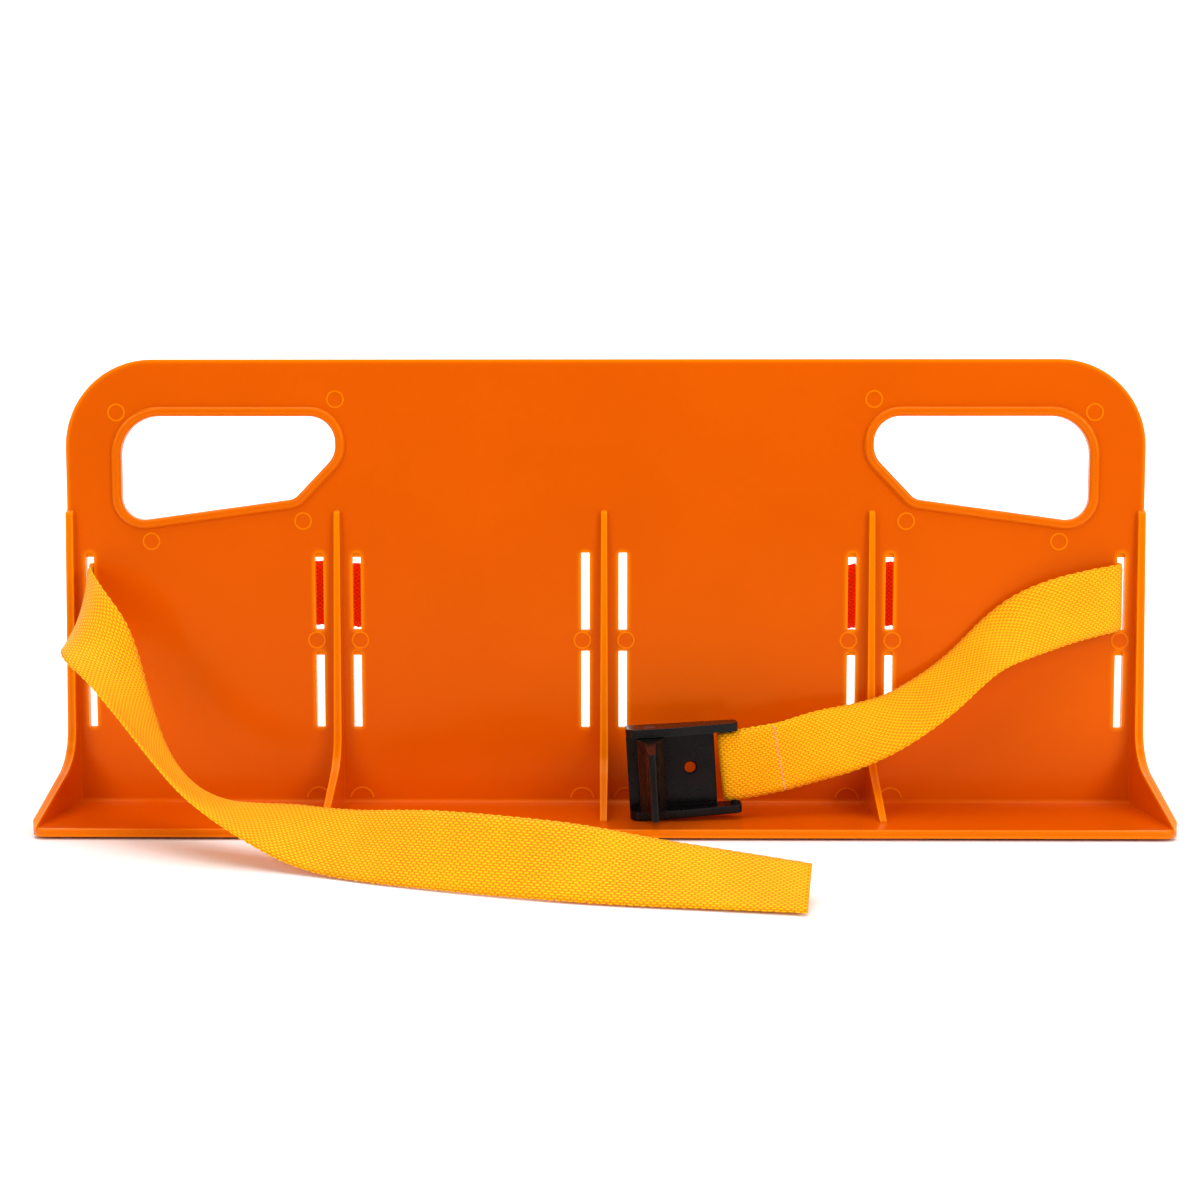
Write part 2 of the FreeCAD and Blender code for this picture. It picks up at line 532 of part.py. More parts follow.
def cam_lever():
    """The toothed cam with its thumb ridge, standing straight out of the frame."""
    low, high = FLANGE + LEVER_SIDE_GAP, BUCKLE_HEIGHT - FLANGE - LEVER_SIDE_GAP
    height = high - low
    axis = V(PIN_X, -PIN_FROM_BACK, low)
    smooth = CAM_RADIUS - CAM_RELIEF
    barrel = Part.makeCylinder(smooth, height, axis)
    lobe_turn = math.radians(LOBE_TURN_DEG)
    lobe_axis = axis + V(math.cos(lobe_turn), math.sin(lobe_turn), 0) * CAM_RELIEF
    lobe = Part.makeCylinder(smooth, height, lobe_axis)
    tip = -LEVER_REACH
    half_base, half_tip = LEVER_BASE / 2, LEVER_TIP / 2
    half_neck = half_tip + LEVER_NECK_FLARE
    plan = [
        V(-half_base, 0, 0), V(-half_base, -LEVER_SHOULDER, 0), V(-half_neck, -LEVER_NECK, 0),
        V(-half_tip, tip, 0), V(half_tip, tip, 0),
        V(half_neck, -LEVER_NECK, 0), V(half_base, -LEVER_SHOULDER, 0), V(half_base, 0, 0),
    ]
    bends = (0, LEVER_SHOULDER_ROUND, LEVER_NECK_ROUND, LEVER_TIP_ROUND)
    thumb = prism([axis + p for p in plan], bends + bends[::-1], V(0, 0, height))
    side = [
        V(-half_base, OVERLAP, 0), V(-half_base, -LEVER_CUT_STARTS, 0),
        V(-half_base, tip - OVERLAP, LEVER_BOTTOM_CUT),
        V(-half_base, tip - OVERLAP, height - LEVER_TOP_CUT),
        V(-half_base, -LEVER_CUT_STARTS, height), V(-half_base, OVERLAP, height),
    ]
    thumb = thumb.common(prism([axis + p for p in side], (0,) * 6, V(LEVER_BASE, 0, 0)))
    lever = barrel.fuse([lobe, thumb])
    teeth = []
    for i in range(TOOTH_COUNT):
        turn = math.radians(FIRST_TOOTH_DEG + i * TOOTH_PITCH_DEG)
        out = V(math.cos(turn), math.sin(turn), 0)
        across = V(-out.y, out.x, 0) * TOOTH_HALF_WIDTH
        foot = axis + out * (smooth - TOOTH_ROOT)
        lobe_rise = CAM_RELIEF * max(0.0, math.cos(turn - lobe_turn))
        tooth_tip = foot + out * (TOOTH_HEIGHT + lobe_rise)
        teeth.append(prism([foot + across, foot - across, tooth_tip], (0,) * 3, V(0, 0, height)))
    lever = lever.fuse(teeth)
    bore = Part.makeCylinder(PIN_DIAMETER / 2 + PIN_RUNNING_GAP, height, axis)
    return lever.cut(bore).removeSplitter()


def cam_pin():
    foot = V(PIN_X, -PIN_FROM_BACK, 0)
    pin = Part.makeCylinder(PIN_DIAMETER / 2, BUCKLE_HEIGHT, foot)
    heads = [Part.makeCylinder(PIN_HEAD_DIAMETER / 2, PIN_HEAD_THICKNESS, foot)]
    heads.append(Part.makeCylinder(PIN_HEAD_DIAMETER / 2, PIN_HEAD_THICKNESS,
                                   foot + V(0, 0, BUCKLE_HEIGHT - PIN_HEAD_THICKNESS)))
    return pin.fuse(heads).removeSplitter()


def buckle_placement():
    """Where the buckle lies: on the foot, its sewn end a little up and its top a little forward."""
    roll = FreeCAD.Rotation(V(0, 1, 0), -BUCKLE_ROLL_DEG)
    pitch = FreeCAD.Rotation(V(1, 0, 0), BUCKLE_PITCH_DEG)
    turned = buckle_frame()
    turned.Placement = FreeCAD.Placement(V(0, 0, 0), pitch * roll)
    lift = FOOT_TOP + BUCKLE_CLEAR - turned.optimalBoundingBox().ZMin
    return FreeCAD.Placement(V(BUCKLE_AT[0], BUCKLE_AT[1], lift), pitch * roll)


# ---- webbing ------------------------------------------------------------------------------------
def centreline(points, name):
    """Stations along straight runs joined by tangent arcs: place, direction and route position."""
    stations = [(points[0], (points[1] - points[0]).normalize(), 0.0)]
    radii = []
    for i in range(1, len(points) - 1):
        before, corner, after = points[i - 1], points[i], points[i + 1]
        into, out = (corner - before).normalize(), (after - corner).normalize()
        half_turn = into.getAngle(out) / 2
        shorter = min(before.distanceToPoint(corner), corner.distanceToPoint(after))
        radius = 0.45 * shorter / math.tan(half_turn)
        radii.append(radius)
        start, middle, end = corner_arc(before, corner, after, radius)
        arc = Part.Arc(start, middle, end)
        first, last = arc.FirstParameter, arc.LastParameter
        steps = max(2, math.ceil(arc.length() / SECTION_STEP))
        back = start.distanceToPoint(corner) / before.distanceToPoint(corner)
        ahead = end.distanceToPoint(corner) / corner.distanceToPoint(after)
        for k in range(steps + 1):
            share = k / steps
            at = first + (last - first) * share
            place = i - back * (1 - 2 * share) if share < 0.5 else i + ahead * (2 * share - 1)
            direction = V(*arc.tangent(at)[0])
            stations.append((arc.value(at), direction, place))
    stations.append((points[-1], (points[-1] - points[-2]).normalize(), len(points) - 1.0))
    print(f"{name}: bend radii " + " ".join(f"{radius:.0f}" for radius in radii))
    return stations


def webbing(route, name):
    """A flat strap along a route of (middle, direction of the upper edge)."""
    stations = centreline([V(*middle) for middle, _ in route], name)
    uppers = [V(*upper) for _, upper in route]
    sections, length, last = [], 0.0, None
    for middle, direction, place in stations:
        i = min(int(place), len(uppers) - 2)
        upper = uppers[i] * (1 - place + i) + uppers[i + 1] * (place - i)
        across = (upper - direction * upper.dot(direction)).normalize() * (WEB_WIDTH / 2)
        through = direction.cross(across).normalize() * (WEB_THICKNESS / 2)
        corners = [middle + across + through, middle + across - through,
                   middle - across - through, middle - across + through]
        sections.append(Part.makePolygon(corners + corners[:1]))
        length += middle.distanceToPoint(last) if last else 0.0
        last = middle
    strap = Part.makeLoft(sections, True, True)
    share = strap.Volume / (WEB_WIDTH * WEB_THICKNESS * length)
    lowest = strap.optimalBoundingBox().ZMin
    print(f"{name}: {length:.0f} mm long, volume {share:.3f} of expected, lowest {lowest:.1f}")
    return strap


def sewn_route(place):
    """The webbing from its sewn end, round the buckle's bar, and on to the right-hand slot."""
    loop = []
    for x, y, rise, lean in SEWN_LOOP:
        middle = place.multVec(V(x, y, BUCKLE_MIDDLE + rise))
        loop.append((tuple(middle), tuple(place.Rotation.multVec(V(lean, 0, 1)))))
    return loop + BUCKLE_RUN


def stitching(place):
    """Short stitches in a row across the sewn end, proud of both faces."""
    x, front, rise, lean = SEWN_LOOP[-1]
    back = SEWN_LOOP[0][1]
    across = V(lean, 0, 1).normalize()
    stitches = []
    count = int((WEB_WIDTH - 4) / STITCH_PITCH)
    for i in range(count):
        offset = (i - (count - 1) / 2) * STITCH_PITCH
        for face in (front - WEB_THICKNESS / 2, back + WEB_THICKNESS / 2):
            start = V(x - STITCH_BACK, face, BUCKLE_MIDDLE + rise) + across * (offset - STITCH_LENGTH / 2)
            stitch = Part.makeCylinder(STITCH_THREAD / 2, STITCH_LENGTH, start, across)
            stitches.append(placed(stitch, place))
    return Part.makeCompound(stitches)


def placed(shape, place):
    moved = shape.copy()
    moved.Placement = place
    return moved


def main():
    save("panel", panel())
    for bay in range(RIB_BAYS):
        save(f"hook_pad_{bay + 1}", hook_pad(bay))
    place = buckle_placement()
    save("buckle_frame", placed(buckle_frame(), place))
    save("cam_lever", placed(cam_lever(), place))
    save("cam_pin", placed(cam_pin(), place))
    save("strap_buckle_run", webbing(sewn_route(place), "strap_buckle_run"))
    save("strap_back_run", webbing(BACK_RUN, "strap_back_run"))
    save("strap_tail", webbing(TAIL_RUN, "strap_tail"))
    save("strap_stitching", stitching(place))
    axis = place.Rotation.multVec(V(0, 0, 1))
    bar = place.multVec(V(BAR_X, -BAR_FROM_BACK, BUCKLE_MIDDLE))
    pin = place.multVec(V(PIN_X, -PIN_FROM_BACK, BUCKLE_MIDDLE))
    print(f"joint axis {tuple(axis)}\nbar {tuple(bar + TO_ORIGIN)}\npin {tuple(pin + TO_ORIGIN)}")


main()
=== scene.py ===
"""Looks of the boot cargo stop: moulded orange panel, laced yellow webbing and black cam buckle.

Metres, in the CAD's frame. X runs along the panel, the front looks towards -Y, Z is up. Places
along the webbing are written from the wall's front face, as they are in the part's own source.
"""
import bpy
import math
from mathutils import Matrix, Vector


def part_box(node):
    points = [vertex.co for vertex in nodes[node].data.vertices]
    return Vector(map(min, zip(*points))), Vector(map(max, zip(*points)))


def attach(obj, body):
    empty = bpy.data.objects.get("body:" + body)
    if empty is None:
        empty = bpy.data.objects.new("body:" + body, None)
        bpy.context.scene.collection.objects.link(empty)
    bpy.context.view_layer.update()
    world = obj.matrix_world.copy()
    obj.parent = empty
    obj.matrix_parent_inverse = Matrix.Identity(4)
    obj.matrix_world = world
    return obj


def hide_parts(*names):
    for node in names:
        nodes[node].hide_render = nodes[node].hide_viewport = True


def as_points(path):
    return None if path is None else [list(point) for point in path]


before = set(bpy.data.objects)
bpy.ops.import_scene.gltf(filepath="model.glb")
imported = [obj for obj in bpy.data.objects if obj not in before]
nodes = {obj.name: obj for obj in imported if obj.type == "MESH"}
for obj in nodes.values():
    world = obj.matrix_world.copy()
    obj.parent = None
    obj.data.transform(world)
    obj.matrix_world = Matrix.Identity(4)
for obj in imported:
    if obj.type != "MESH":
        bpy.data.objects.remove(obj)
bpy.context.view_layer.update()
scene = bpy.context.scene

# ---- dimensions that the looks share with the part -----------------------------------------------
WALL = 0.0035  # thickness of the panel's wall
WALL_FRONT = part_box("panel")[1].y - WALL
TO_WALL = Vector((0.0, WALL_FRONT, 0.0))
PAD_COUNT = 4
WEB_WIDTH = 0.038
WEB_THICKNESS = 0.0014

BUCKLE_AT = Vector((0.0148, -0.034, 0.0065))
BUCKLE_PITCH_DEG = 0.8  # top forward
BUCKLE_ROLL_DEG = 3.4  # sewn end up
BUCKLE_MIDDLE = 0.025  # half its height

# ---- how the webbing is drawn --------------------------------------------------------------------
ROUTE_RESOLUTION = 24  # points on the smooth line for each point of the route
SIDE_REACH = 0.01  # how far from the route the line that shows its upper side runs
COLUMNS = 13  # points across one face
SELVAGE_SHARE = 0.35  # the webbing's thickness at its edges, of that at its middle
SCALLOP_PITCH = 0.0047  # small waves along its edges
SCALLOP = 0.00022
ROW_PITCH = 0.0013  # rows of warp floats
DASH_PITCH = 0.003  # one float and the gap after it
ROW_FILL = 0.96  # below 1, neighbouring rows touch
DASH_FILL = 1.04  # above 1, a gap is left at a float's ends
FLOAT_POWER = 0.7  # below 1, a float is flat on top
STRAND_PITCH = 0.0004
STRAND_SLANT = 0.25  # across for each metre along
STRAND_HEIGHT = 0.05  # of a float's
BEHIND_FACING = -0.2  # the normal's Y below which a face looks at the wall's back
BEHIND_GAP = 0.001  # and how far behind the wall's back it starts

# ---- the zigzag stitching across the sewn end ----------------------------------------------------
STITCH_X = 0.0835  # along the buckle's frame
STITCH_RISE = 0.0033
STITCH_PROUD = 0.0009  # of the webbing's middle, on each face
STITCH_TURNS = 23
STITCH_STEP = 0.00165
STITCH_SWAY = 0.0006
THREAD_RADIUS = 0.00038
THREAD_SIDES = 6

# ---- camera --------------------------------------------------------------------------------------
LENS_MM = 47.24
SENSOR_MM = 36.0
CAMERA_PLACE = (0.00566, WALL_FRONT - 0.8984, 0.1907)
CAMERA_DIP = 0.0749
CAMERA_TURN = 0.0089

camera_data = bpy.data.cameras.new("camera")
camera_data.lens = LENS_MM
camera_data.sensor_width = SENSOR_MM
camera = bpy.data.objects.new("camera", camera_data)
camera.location = CAMERA_PLACE
camera.rotation_euler = (math.pi / 2 - CAMERA_DIP, 0.0, CAMERA_TURN)
scene.collection.objects.link(camera)
scene.camera = camera


# ---- small helpers -------------------------------------------------------------------------------
def add_mesh(name, verts, faces):
    """A smooth-shaded object made of these faces."""
    mesh = bpy.data.meshes.new(name)
    mesh.from_pydata([tuple(v) for v in verts], [], faces)
    mesh.validate()
    for polygon in mesh.polygons:
        polygon.use_smooth = True
    obj = bpy.data.objects.new(name, mesh)
    scene.collection.objects.link(obj)
    return obj


def nurbs_line(points):
    """The points along the smooth NURBS curve that has these as its control points."""
    data = bpy.data.curves.new("route", "CURVE")
    data.dimensions = "3D"
    data.resolution_u = ROUTE_RESOLUTION
    spline = data.splines.new("NURBS")
    spline.points.add(len(points) - 1)
    for point, place in zip(spline.points, points):
        point.co = (*place, 1.0)
    spline.order_u = 3
    spline.use_endpoint_u = True
    obj = bpy.data.objects.new("route", data)
    scene.collection.objects.link(obj)
    mesh = bpy.data.meshes.new_from_object(obj)
    line = [v.co.copy() for v in mesh.vertices]
    bpy.data.meshes.remove(mesh)
    bpy.data.objects.remove(obj)
    bpy.data.curves.remove(data)
    return line


def tangent_at(points, i):
    """The line's direction at one of its points."""
    return (points[min(i + 1, len(points) - 1)] - points[max(i - 1, 0)]).normalized()


# ---- route of the webbing: each place, and which way its upper edge lies -------------------------
SEWN_LOOP = [  # in the buckle's frame, sewn end to bar and back: x, y, height over the middle, lean
    (0.086, -0.0041, 0.0036, -0.13), (0.075, -0.0032, 0.0022, -0.12),
    (0.064, -0.0019, 0.0008, -0.08), (0.0516, -0.0019, 0.0, -0.05),
    (0.0516, -0.0083, 0.0, -0.05), (0.064, -0.0082, 0.0008, -0.08),
    (0.075, -0.0068, 0.0022, -0.12), (0.086, -0.0056, 0.0036, -0.13),
]

ROUTE = [
    ((0.118, -0.0345, 0.045), (-0.14, 0.16, 1.0)),
    ((0.138, -0.031, 0.0496), (-0.1, 0.5, 0.85)),
    ((0.1575, -0.029, 0.0562), (-0.05, 0.72, 0.75)),
    ((0.173, -0.028, 0.0648), (-0.05, 0.8, 0.7)),
    ((0.187, -0.0265, 0.0745), (-0.1, 0.82, 0.6)),
    ((0.2008, -0.0235, 0.0858), (-0.12, 0.86, 0.5)),
    ((0.2128, -0.0205, 0.0955), (-0.1, 0.84, 0.55)),
    ((0.2266, -0.0175, 0.1046), (-0.1, 0.68, 0.75)),
    ((0.241, -0.0152, 0.1122), (-0.12, 0.42, 0.9)),
    ((0.258, -0.013, 0.1184), (-0.12, 0.2, 1.0)),
    ((0.2755, -0.0106, 0.1224), (-0.1, 0.06, 1.0)),
    ((0.2875, -0.0086, 0.1246), (-0.04, 0.0, 1.0)),
    ((0.2946, -0.004, 0.1256), (0.0, 0.0, 1.0)),
    ((0.2944, 0.008, 0.1258), (0.0, 0.0, 1.0)),
    ((0.284, 0.013, 0.1258), (0.0, 0.0, 1.0)),
    ((0.262, 0.0142, 0.126), (0.0, 0.0, 1.0)),
    ((0.228, 0.015, 0.1258), (0.0, 0.02, 1.0)),
    ((0.192, 0.0146, 0.126), (0.0, 0.0, 1.0)),
    ((0.162, 0.0154, 0.126), (0.02, -0.04, 1.0)),
    ((0.14, 0.0176, 0.1244), (0.1, -0.14, 1.0)),
    ((0.122, 0.022, 0.115), (0.35, -0.6, 0.7)),
    ((0.106, 0.027, 0.097), (0.3, -0.9, 0.3)),
    ((0.09, 0.0305, 0.074), (0.2, -0.95, 0.25)),
    ((0.073, 0.032, 0.051), (0.2, -0.85, 0.5)),
    ((0.052, 0.033, 0.032), (0.2, -0.5, 0.85)),
    ((0.029, 0.034, 0.0225), (0.1, -0.2, 1.0)),
    ((0.002, 0.035, 0.019), (0.0, -0.08, 1.0)),
    ((-0.027, 0.0344, 0.0215), (-0.1, -0.2, 1.0)),
    ((-0.051, 0.033, 0.0315), (-0.2, -0.5, 0.85)),
    ((-0.072, 0.0324, 0.0506), (-0.2, -0.85, 0.5)),
    ((-0.089, 0.0306, 0.0736), (-0.2, -0.95, 0.25)),
    ((-0.105, 0.0274, 0.097), (-0.3, -0.9, 0.3)),
    ((-0.121, 0.0224, 0.115), (-0.35, -0.6, 0.7)),
    ((-0.139, 0.018, 0.1246), (-0.1, -0.14, 1.0)),
    ((-0.161, 0.016, 0.1264), (-0.02, -0.04, 1.0)),
    ((-0.192, 0.015, 0.1262), (0.0, 0.0, 1.0)),
    ((-0.228, 0.0154, 0.126), (0.0, 0.02, 1.0)),
    ((-0.262, 0.0144, 0.126), (0.0, 0.0, 1.0)),
    ((-0.284, 0.013, 0.1258), (0.0, 0.0, 1.0)),
    ((-0.2944, 0.008, 0.1258), (0.0, 0.0, 1.0)),
    ((-0.294, -0.009, 0.1255), (0.1, 0.0, 1.0)),
    ((-0.291, -0.024, 0.123), (0.35, -0.15, 0.95)),
    ((-0.284, -0.041, 0.115), (0.6, 0.0, 0.8)),
    ((-0.275, -0.053, 0.104), (0.75, 0.45, 0.45)),
    ((-0.263, -0.062, 0.089), (0.6, 0.8, 0.0)),
    ((-0.25, -0.072, 0.07), (0.4, 0.9, -0.25)),
    ((-0.236, -0.084, 0.052), (0.25, 0.9, -0.4)),
    ((-0.221, -0.094, 0.038), (0.25, 0.9, -0.4)),
    ((-0.204, -0.104, 0.029), (0.35, 0.9, -0.25)),
    ((-0.185, -0.113, 0.024), (0.4, 0.9, 0.05)),
    ((-0.165, -0.122, 0.02), (0.45, 0.8, 0.35)),
    ((-0.145, -0.132, 0.016), (0.4, 0.7, 0.6)),
    ((-0.125, -0.143, 0.015), (0.35, 0.6, 0.75)),
    ((-0.105, -0.155, 0.0165), (0.25, 0.5, 0.8)),
    ((-0.08, -0.168, 0.018), (0.15, 0.4, 0.9)),
    ((-0.05, -0.179, 0.018), (0.15, 0.4, 0.9)),
    ((-0.015, -0.1875, 0.017), (0.15, 0.55, 0.85)),
    ((0.02, -0.191, 0.0135), (0.12, 0.75, 0.65)),
    ((0.055, -0.1945, 0.011), (0.15, 0.85, 0.5)),
    ((0.094, -0.2005, 0.0085), (0.2, 0.9, 0.35)),
]

BUCKLE_PITCH = Matrix.Rotation(math.radians(BUCKLE_PITCH_DEG), 3, "X")
BUCKLE_ROLL = Matrix.Rotation(math.radians(-BUCKLE_ROLL_DEG), 3, "Y")
BUCKLE_TURN = BUCKLE_PITCH @ BUCKLE_ROLL


def on_buckle(x, y, rise):
    """A place in the buckle's frame; rise is the height over its middle."""
    return BUCKLE_AT + BUCKLE_TURN @ Vector((x, y, BUCKLE_MIDDLE + rise)) + TO_WALL


middles = [on_buckle(x, y, rise) for x, y, rise, _ in SEWN_LOOP]
middles += [Vector(place) + TO_WALL for place, _ in ROUTE]
uppers = [(BUCKLE_TURN @ Vector((lean, 0.0, 1.0))).normalized() for _, _, _, lean in SEWN_LOOP]
uppers += [Vector(upper).normalized() for _, upper in ROUTE]
line = nurbs_line(middles)
side_line = nurbs_line([middle + upper * SIDE_REACH for middle, upper in zip(middles, uppers)])


# ---- webbing -------------------------------------------------------------------------------------
def web_frames():
    """Along the line: place, distance, the strap's side direction and its face's normal."""
    frames = []
    along = 0.0
    for i, middle in enumerate(line):
        if i:
            along += (middle - line[i - 1]).length
        tangent = tangent_at(line, i)
        side = side_line[i] - middle
        side = (side - tangent * side.dot(tangent)).normalized()
        frames.append((middle, along, side, tangent.cross(side).normalized()))
    return frames


def web_section(middle, along, side, normal):
    """One cross-section of the strap, with each point's distance along and across it."""
    points = []
    for face in (1, -1):
        for k in range(COLUMNS):
            across = (2 * k / (COLUMNS - 1) - 1) * face
            half_width = WEB_WIDTH / 2 - SCALLOP
            half_thickness = WEB_THICKNESS / 2
            if k in (0, COLUMNS - 1):
                phase = 0 if across > 0 else math.pi
                half_width += SCALLOP * math.cos(2 * math.pi * along / SCALLOP_PITCH + phase)
                half_thickness *= SELVAGE_SHARE
            point = middle + side * (across * half_width) + normal * (half_thickness * face)
            points.append((point, (along, across * WEB_WIDTH / 2)))
    return points


def make_webbing():
    """The strap's mesh, its weave coordinates in metres, and its length."""
    frames = web_frames()
    points = [point for station in frames for point in web_section(*station)]
    ring = 2 * COLUMNS
    faces = []
    for i in range(len(frames) - 1):
        for k in range(ring):
            a, b = i * ring + k, i * ring + (k + 1) % ring
            faces.append((a, b, b + ring, a + ring))
    last = (len(frames) - 1) * ring
    faces.append(tuple(range(ring - 1, -1, -1)))
    faces.append(tuple(last + k for k in range(ring)))
    obj = add_mesh("webbing", [point for point, _ in points], faces)
    layer = obj.data.uv_layers.new(name="weave")
    for corner in obj.data.loops:
        layer.data[corner.index].uv = points[corner.vertex_index][1]
    return obj, frames[-1][1]


webbing, web_length = make_webbing()
print("webbing length", round(web_length, 4))
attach(webbing, "root")
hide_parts("strap_buckle_run", "strap_back_run", "strap_tail")


# ---- stitching: a zigzag across the sewn end, on both of its faces -------------------------------
def tube(points):
    """A thread's points and faces."""
    verts, faces = [], []
    sides = THREAD_SIDES
    for i, point in enumerate(points):
        tangent = tangent_at(points, i)
        first = tangent.orthogonal().normalized()
        second = tangent.cross(first)
        for k in range(sides):
            turn = 2 * math.pi * k / sides
            verts.append(point + (first * math.cos(turn) + second * math.sin(turn)) * THREAD_RADIUS)
    for i in range(len(points) - 1):
        for k in range(sides):
            a, b = i * sides + k, i * sides + (k + 1) % sides
            faces.append((a, b, b + sides, a + sides))
    last = (len(points) - 1) * sides
    faces.append(tuple(range(sides - 1, -1, -1)))
    faces.append(tuple(last + k for k in range(sides)))
    return verts, faces


def make_stitching():
    """One thread on each face of the sewn end, in step with each other."""
    verts, faces = [], []
    across = Vector((SEWN_LOOP[-1][3], 0.0, 1.0)).normalized()
    front, back = SEWN_LOOP[-1][1] - STITCH_PROUD, SEWN_LOOP[0][1] + STITCH_PROUD
    for y in (front, back):
        points = []
        for k in range(STITCH_TURNS):
            place = across * ((k - STITCH_TURNS // 2) * STITCH_STEP)
            sway = STITCH_SWAY if k % 2 else -STITCH_SWAY
            points.append(on_buckle(STITCH_X + sway + place.x, y, STITCH_RISE + place.z))
        thread_verts, thread_faces = tube(points)
        faces += [tuple(i + len(verts) for i in face) for face in thread_faces]
        verts += thread_verts
    return add_mesh("stitching", verts, faces)


stitching = make_stitching()
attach(stitching, "root")
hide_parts("strap_stitching")
# every sixth point of the line and the line's end, as lists of numbers; nothing keeps them
tuple(middles[0])
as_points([tuple(p) for p in line[:-3:6]] + [tuple(line[-1])])


# ---- materials -----------------------------------------------------------------------------------
def material(name):
    """A new material, with short ways to add nodes, do maths and feed its shader."""
    made = bpy.data.materials.new(name)
    made.use_nodes = True
    tree = made.node_tree
    tree.nodes.clear()
    output = tree.nodes.new("ShaderNodeOutputMaterial")
    shader = tree.nodes.new("ShaderNodeBsdfPrincipled")
    tree.links.new(shader.outputs[0], output.inputs[0])

    def plug(target, inputs):
        for key, value in inputs.items():
            if isinstance(value, bpy.types.NodeSocket):
                tree.links.new(value, target.inputs[key])
            else:
                target.inputs[key].default_value = value

    def node(kind, inputs=None, **settings):
        added = tree.nodes.new(kind)
        for key, value in settings.items():
            setattr(added, key, value)
        plug(added, inputs or {})
        return added

    def maths(operation, a, b=0.0, c=0.0, clamp=False):
        inputs = {0: a, 1: b, 2: c}
        return node("ShaderNodeMath", inputs, operation=operation, use_clamp=clamp).outputs[0]

    def feed(inputs):
        plug(shader, inputs)

    return made, node, maths, feed


def object_place(node):
    """Coordinates in the row frame, where the CAD is drawn."""
    return node("ShaderNodeTexCoord").outputs["Object"]


def noise(node, place, scale, detail, roughness=0.5):
    """Cloudy values around 0.5; the scale counts clouds per metre."""
    inputs = {"Vector": place, "Scale": scale, "Detail": detail, "Roughness": roughness}
    return node("ShaderNodeTexNoise", inputs).outputs[0]


def bump(node, height, strength, distance, invert=False):
    """A normal that follows a height; the distance is what a height of 1 measures, in metres."""
    inputs = {"Height": height, "Strength": strength, "Distance": distance}
    return node("ShaderNodeBump", inputs, invert=invert).outputs[0]


def ramp(node, value, stops):
    """A colour ramp over a value."""
    added = node("ShaderNodeValToRGB", {0: value})
    elements = added.color_ramp.elements
    while len(elements) < len(stops):
        elements.new(0.5)
    for element, (place, colour) in zip(elements, stops):
        element.position = place
        element.color = (*colour, 1.0)
    return added.outputs[0]


def mix(node, share, under, over):
    """The colour over lies on the colour under with this share."""
    if isinstance(over, tuple):
        over = (*over, 1.0)
    return node("ShaderNodeMix", {0: share, 6: under, 7: over}, data_type="RGBA").outputs[2]


def edge_mask(node, maths, radius, gain):
    """How near an edge is, 0 to 1: how far a rounded normal turns from the true one."""
    rounded = node("ShaderNodeBevel", {"Radius": radius}, samples=6).outputs[0]
    true = node("ShaderNodeNewGeometry").outputs["Normal"]
    agree = node("ShaderNodeVectorMath", {0: rounded, 1: true}, operation="DOT_PRODUCT")
    return maths("MULTIPLY", maths("SUBTRACT", 1.0, agree.outputs["Value"]), gain, clamp=True)


def thinness(node, maths, distance, gain):
    """How near the far side of the material is, 0 to 1."""
    inward = node("ShaderNodeAmbientOcclusion", {"Distance": distance}, inside=True, samples=8)
    return maths("MULTIPLY", maths("SUBTRACT", 1.0, inward.outputs["AO"]), gain, clamp=True)


PAINTED_GLOW_SHARE = 0.75  # share of the painted glow's colour where the plastic is thinnest, standing in for light through it
EDGE_HIGHLIGHT_SHARE = 0.45  # of the same, as a painted highlight, at a thick part's edges
GRAIN_HEIGHT = 0.04
FLOW_HEIGHT = 0.5


def orange_plastic():
    """Moulded plastic, with a painted glow where it is thin and painted highlights at the ribs'
    edges and the grips' beads.
    """
    made, node, maths, feed = material("orange_plastic")
    place = object_place(node)
    cloud = noise(node, place, scale=9.0, detail=3.0)
    tone = ramp(node, cloud, [(0.25, (0.66, 0.088, 0.0)), (0.75, (0.73, 0.1, 0.0))])
    # painted light: a paler colour where the plastic is thin and at edges stands in for light
    # through it and for highlights
    thin = thinness(node, maths, distance=0.003, gain=2.0)
    edge = maths("MULTIPLY", edge_mask(node, maths, radius=0.0007, gain=4.0), EDGE_HIGHLIGHT_SHARE)
    painted_glow = maths("MULTIPLY", maths("MAXIMUM", thin, edge), PAINTED_GLOW_SHARE)
    scuff = noise(node, place, scale=260.0, detail=6.0, roughness=0.7)
    grain = maths("MULTIPLY", noise(node, place, scale=900.0, detail=2.0), GRAIN_HEIGHT)
    flow = maths("MULTIPLY", noise(node, place, scale=38.0, detail=4.0), FLOW_HEIGHT)
    feed({
        "Base Color": mix(node, painted_glow, tone, (1.0, 0.3, 0.0)),
        "Roughness": maths("MULTIPLY_ADD", scuff, 0.1, 0.14),
        "IOR": 1.45,
        "Specular Tint": (1.0, 0.45, 0.1, 1.0),
        "Normal": bump(node, maths("ADD", grain, flow), strength=0.2, distance=0.0004),
    })
    return made


def weave(maths, along, across):
    """The height of the warp floats, laid in rows like bricks, 0 to 1."""
    row = maths("DIVIDE", across, ROW_PITCH)
    row_number = maths("FLOOR", row)
    odd = maths("MODULO", maths("ABSOLUTE", row_number), 2.0)
    in_row = maths("SUBTRACT", maths("SUBTRACT", row, row_number), 0.5)
    dash = maths("ADD", maths("DIVIDE", along, DASH_PITCH), maths("MULTIPLY", odd, 0.5))
    in_dash = maths("SUBTRACT", maths("FRACT", dash), 0.5)
    round_row = maths("COSINE", maths("MULTIPLY", in_row, math.pi * ROW_FILL))
    round_dash = maths("COSINE", maths("MULTIPLY", in_dash, math.pi * DASH_FILL))
    floats = maths("MULTIPLY", round_row, maths("MAXIMUM", round_dash, 0.0), clamp=True)
    return maths("POWER", floats, FLOAT_POWER)


